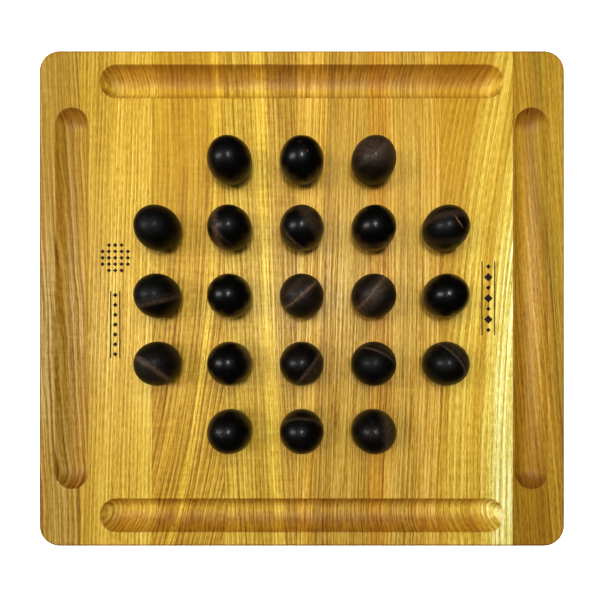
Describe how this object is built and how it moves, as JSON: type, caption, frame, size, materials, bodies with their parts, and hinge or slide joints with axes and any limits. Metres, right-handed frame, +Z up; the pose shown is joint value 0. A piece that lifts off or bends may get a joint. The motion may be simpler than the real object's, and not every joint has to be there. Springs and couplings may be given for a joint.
{
  "type": "marble solitaire board",
  "caption": "Edge-glued hardwood game board with rounded corners, a trough along each edge and a cross-shaped grid of round seats, each holding a loose dark turned ball that lifts out.",
  "frame": {"origin": "middle of the underside of the board, on the surface that it rests on", "axes": "+X across the staves to the player's right, +Y along the staves away from the player, +Z up through the board and out of the seats"},
  "size_m": [0.3, 0.283, 0.0404],
  "materials": {
    "stave_1": "oiled hardwood, fine open grain along the stave",
    "stave_2": "oiled hardwood, fine open grain along the stave",
    "stave_3": "oiled hardwood, fine open grain along the stave",
    "stave_4": "oiled hardwood, fine open grain along the stave",
    "stave_5": "oiled hardwood, fine open grain along the stave",
    "stave_6": "oiled hardwood, fine open grain along the stave",
    "stave_7": "oiled hardwood, fine open grain along the stave",
    "stave_8": "oiled hardwood, fine open grain along the stave",
    "ball": "near-black bog oak, turned, sanded and waxed to a satin gloss"
  },
  "bodies": {
    "board": {"stave_1": "stave_1", "stave_2": "stave_2", "stave_3": "stave_3", "stave_4": "stave_4", "stave_5": "stave_5", "stave_6": "stave_6", "stave_7": "stave_7", "stave_8": "stave_8"},
    "ball_r1_c2": {"ball_r1_c2": "ball"},
    "ball_r1_c3": {"ball_r1_c3": "ball"},
    "ball_r1_c4": {"ball_r1_c4": "ball"},
    "ball_r2_c1": {"ball_r2_c1": "ball"},
    "ball_r2_c2": {"ball_r2_c2": "ball"},
    "ball_r2_c3": {"ball_r2_c3": "ball"},
    "ball_r2_c4": {"ball_r2_c4": "ball"},
    "ball_r2_c5": {"ball_r2_c5": "ball"},
    "ball_r3_c1": {"ball_r3_c1": "ball"},
    "ball_r3_c2": {"ball_r3_c2": "ball"},
    "ball_r3_c3": {"ball_r3_c3": "ball"},
    "ball_r3_c4": {"ball_r3_c4": "ball"},
    "ball_r3_c5": {"ball_r3_c5": "ball"},
    "ball_r4_c1": {"ball_r4_c1": "ball"},
    "ball_r4_c2": {"ball_r4_c2": "ball"},
    "ball_r4_c3": {"ball_r4_c3": "ball"},
    "ball_r4_c4": {"ball_r4_c4": "ball"},
    "ball_r4_c5": {"ball_r4_c5": "ball"},
    "ball_r5_c2": {"ball_r5_c2": "ball"},
    "ball_r5_c3": {"ball_r5_c3": "ball"},
    "ball_r5_c4": {"ball_r5_c4": "ball"}
  },
  "joints": [
    {"name": "ball_r1_c2_lift", "type": "slide", "parent": "board", "child": "ball_r1_c2", "axis": [0, 0, 1], "range_m": [0, 0.05]},
    {"name": "ball_r1_c3_lift", "type": "slide", "parent": "board", "child": "ball_r1_c3", "axis": [0, 0, 1], "range_m": [0, 0.05]},
    {"name": "ball_r1_c4_lift", "type": "slide", "parent": "board", "child": "ball_r1_c4", "axis": [0, 0, 1], "range_m": [0, 0.05]},
    {"name": "ball_r2_c1_lift", "type": "slide", "parent": "board", "child": "ball_r2_c1", "axis": [0, 0, 1], "range_m": [0, 0.05]},
    {"name": "ball_r2_c2_lift", "type": "slide", "parent": "board", "child": "ball_r2_c2", "axis": [0, 0, 1], "range_m": [0, 0.05]},
    {"name": "ball_r2_c3_lift", "type": "slide", "parent": "board", "child": "ball_r2_c3", "axis": [0, 0, 1], "range_m": [0, 0.05]},
    {"name": "ball_r2_c4_lift", "type": "slide", "parent": "board", "child": "ball_r2_c4", "axis": [0, 0, 1], "range_m": [0, 0.05]},
    {"name": "ball_r2_c5_lift", "type": "slide", "parent": "board", "child": "ball_r2_c5", "axis": [0, 0, 1], "range_m": [0, 0.05]},
    {"name": "ball_r3_c1_lift", "type": "slide", "parent": "board", "child": "ball_r3_c1", "axis": [0, 0, 1], "range_m": [0, 0.05]},
    {"name": "ball_r3_c2_lift", "type": "slide", "parent": "board", "child": "ball_r3_c2", "axis": [0, 0, 1], "range_m": [0, 0.05]},
    {"name": "ball_r3_c3_lift", "type": "slide", "parent": "board", "child": "ball_r3_c3", "axis": [0, 0, 1], "range_m": [0, 0.05]},
    {"name": "ball_r3_c4_lift", "type": "slide", "parent": "board", "child": "ball_r3_c4", "axis": [0, 0, 1], "range_m": [0, 0.05]},
    {"name": "ball_r3_c5_lift", "type": "slide", "parent": "board", "child": "ball_r3_c5", "axis": [0, 0, 1], "range_m": [0, 0.05]},
    {"name": "ball_r4_c1_lift", "type": "slide", "parent": "board", "child": "ball_r4_c1", "axis": [0, 0, 1], "range_m": [0, 0.05]},
    {"name": "ball_r4_c2_lift", "type": "slide", "parent": "board", "child": "ball_r4_c2", "axis": [0, 0, 1], "range_m": [0, 0.05]},
    {"name": "ball_r4_c3_lift", "type": "slide", "parent": "board", "child": "ball_r4_c3", "axis": [0, 0, 1], "range_m": [0, 0.05]},
    {"name": "ball_r4_c4_lift", "type": "slide", "parent": "board", "child": "ball_r4_c4", "axis": [0, 0, 1], "range_m": [0, 0.05]},
    {"name": "ball_r4_c5_lift", "type": "slide", "parent": "board", "child": "ball_r4_c5", "axis": [0, 0, 1], "range_m": [0, 0.05]},
    {"name": "ball_r5_c2_lift", "type": "slide", "parent": "board", "child": "ball_r5_c2", "axis": [0, 0, 1], "range_m": [0, 0.05]},
    {"name": "ball_r5_c3_lift", "type": "slide", "parent": "board", "child": "ball_r5_c3", "axis": [0, 0, 1], "range_m": [0, 0.05]},
    {"name": "ball_r5_c4_lift", "type": "slide", "parent": "board", "child": "ball_r5_c4", "axis": [0, 0, 1], "range_m": [0, 0.05]}
  ]
}
